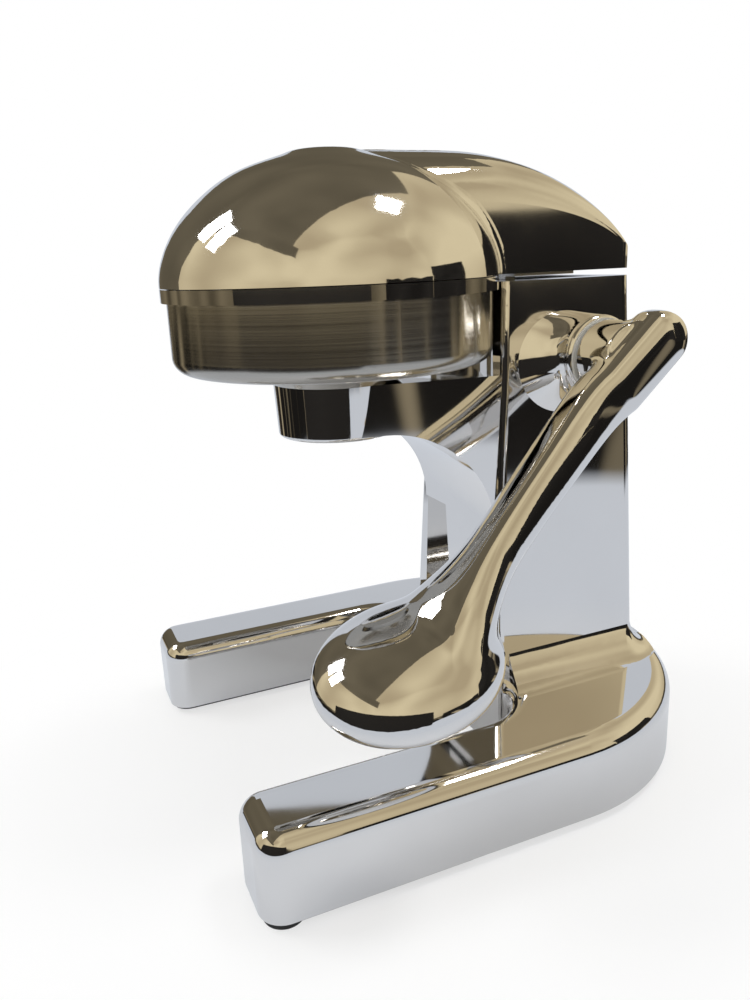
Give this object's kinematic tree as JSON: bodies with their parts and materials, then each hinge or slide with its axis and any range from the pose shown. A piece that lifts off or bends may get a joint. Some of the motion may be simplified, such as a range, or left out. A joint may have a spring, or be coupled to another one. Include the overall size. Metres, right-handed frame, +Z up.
{
  "type": "lever citrus press juicer",
  "caption": "Free-standing citrus press: a side lever turns a pinion that lifts a domed head off a strainer and bowl, over a horseshoe base that takes a glass.",
  "frame": {"origin": "on the table, in the middle of the whole press's footprint", "axes": "+Z up; -Y towards the open front where the glass stands; +X towards the lever"},
  "size_m": [0.2016, 0.204, 0.2417],
  "materials": {
    "plated_casting": "mirror polished plating",
    "plated_lever": "mirror polished plating",
    "plated_head": "mirror polished plating",
    "dark_cover": "dark moulded cover",
    "zinc_screw": "bright zinc",
    "black_screw": "black oxide",
    "foot_rubber": "matte",
    "bush_brass": "machined",
    "bush_nylon": "moulded",
    "bare_steel": "machined, lightly oiled",
    "spun_steel": "spun, satin",
    "brushed_bowl": "brushed round the axis, polished bead"
  },
  "bodies": {
    "stand": {"body_casting": "plated_casting", "base_cover_plate": "dark_cover", "base_cover_screws": "zinc_screw", "rubber_feet": "foot_rubber", "foot_screws": "zinc_screw", "shaft_bush_left": "bush_brass", "shaft_bush_right": "bush_brass", "lever_thrust_washer": "bush_nylon", "rack_guide_block": "bush_nylon", "rack_guide_screws": "zinc_screw"},
    "handle": {"lever_arm": "plated_lever", "lever_set_screw": "black_screw", "pinion_shaft": "bare_steel", "pinion_gear": "bare_steel", "pinion_drive_pin": "bare_steel"},
    "press_head": {"head_cover": "plated_head", "rack_bar": "bare_steel", "rack_stop_pin": "bare_steel", "rack_head_screws": "zinc_screw", "press_cup": "spun_steel", "press_cup_screw": "zinc_screw"},
    "juice_tray": {"juice_bowl": "brushed_bowl", "strainer_cone": "brushed_bowl"}
  },
  "joints": [
    {"name": "handle_turn", "type": "hinge", "parent": "stand", "child": "handle", "pos_m": [-0.01027, 0.0561, 0.1648], "axis": [-1, 0, 0], "range_deg": [0, 211.9]},
    {"name": "head_slide", "type": "slide", "parent": "stand", "child": "press_head", "axis": [0, 0, 1], "range_m": [0, 0.0472]},
    {"name": "bowl_turn", "type": "hinge", "parent": "stand", "child": "juice_tray", "pos_m": [-0.01027, -0.035, 0.165], "axis": [0, 0, 1], "continuous": true}
  ],
  "couplings": [
    {"joint": "head_slide", "follows": "handle_turn", "m_per_rad": 0.01275}
  ]
}
